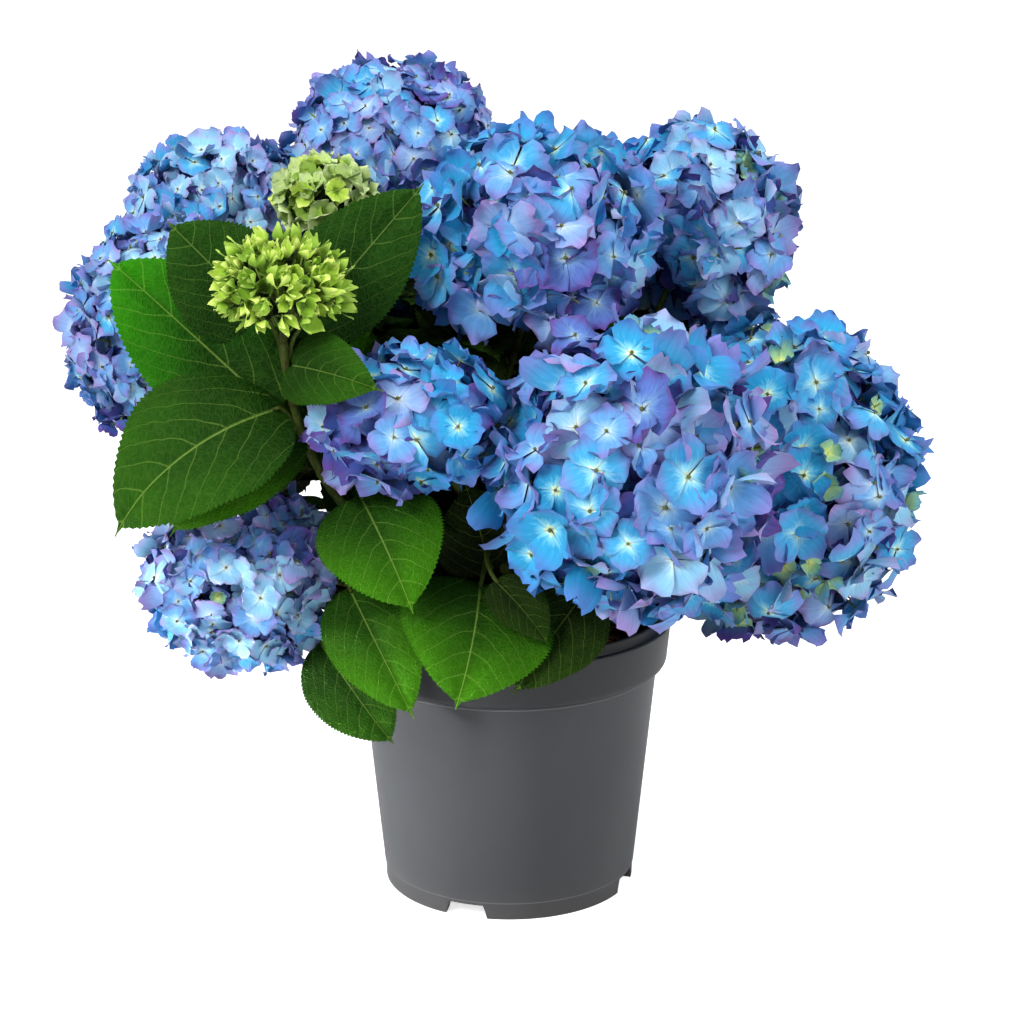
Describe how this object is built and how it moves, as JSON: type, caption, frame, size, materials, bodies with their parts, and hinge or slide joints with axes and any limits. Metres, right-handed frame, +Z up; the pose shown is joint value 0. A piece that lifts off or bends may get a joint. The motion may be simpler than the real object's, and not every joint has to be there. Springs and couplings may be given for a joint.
{
  "type": "potted mophead hydrangea",
  "caption": "Bushy flowering shrub with round blue flower heads and broad leaves, growing in a tapering plastic nursery pot that stands by itself.",
  "frame": {"origin": "centre of the flat pad under the pot, on the level that the pot stands on", "axes": "+Z up along the pot's axis, -Y towards the front of the plant, +X to the right seen from the front"},
  "size_m": [0.6066, 0.5123, 0.5761],
  "materials": {
    "pot": "satin dark grey, moulded",
    "compost": "moist dark brown bark compost",
    "cane": "buff brown bark, finely ridged and flaking",
    "bough": "young green wood with pale specks",
    "leaf": "satin deep green with paler sunken veins",
    "bloom": "soft matte blue petals with cream hearts and violet rims",
    "green_bloom": "soft matte yellow green buds"
  },
  "bodies": {
    "root": {"pot": "pot", "compost": "compost", "cane_front": "cane", "cane_right": "cane", "cane_back": "cane", "cane_back_left": "cane", "cane_left": "cane", "cane_centre": "cane", "bough_under": "bough", "bough_front": "bough", "bough_right": "bough", "bough_right_back": "bough", "bough_back_low": "bough", "bough_back_right": "bough", "bough_back_left": "bough", "bough_left_back": "bough", "bough_low_left": "bough", "bough_far_left": "bough", "bough_bud": "bough", "bough_young": "bough", "bough_top": "bough", "bough_centre": "bough", "leaves_under": "leaf", "leaves_front": "leaf", "leaves_right": "leaf", "leaves_right_back": "leaf", "leaves_back_low": "leaf", "leaves_back_right": "leaf", "leaves_back_left": "leaf", "leaves_left_back": "leaf", "leaves_low_left": "leaf", "leaves_far_left": "leaf", "leaves_bud": "leaf", "leaves_young": "leaf", "leaves_top": "leaf", "leaves_centre": "leaf", "bloom_under": "bloom", "bloom_front": "bloom", "bloom_right": "bloom", "bloom_right_back": "bloom", "bloom_back_low": "bloom", "bloom_back_right": "bloom", "bloom_back_left": "bloom", "bloom_left_back": "bloom", "bloom_low_left": "bloom", "bloom_far_left": "bloom", "bloom_bud": "green_bloom", "bloom_young": "green_bloom", "bloom_top": "bloom", "bloom_centre": "bloom"}
  },
  "joints": []
}
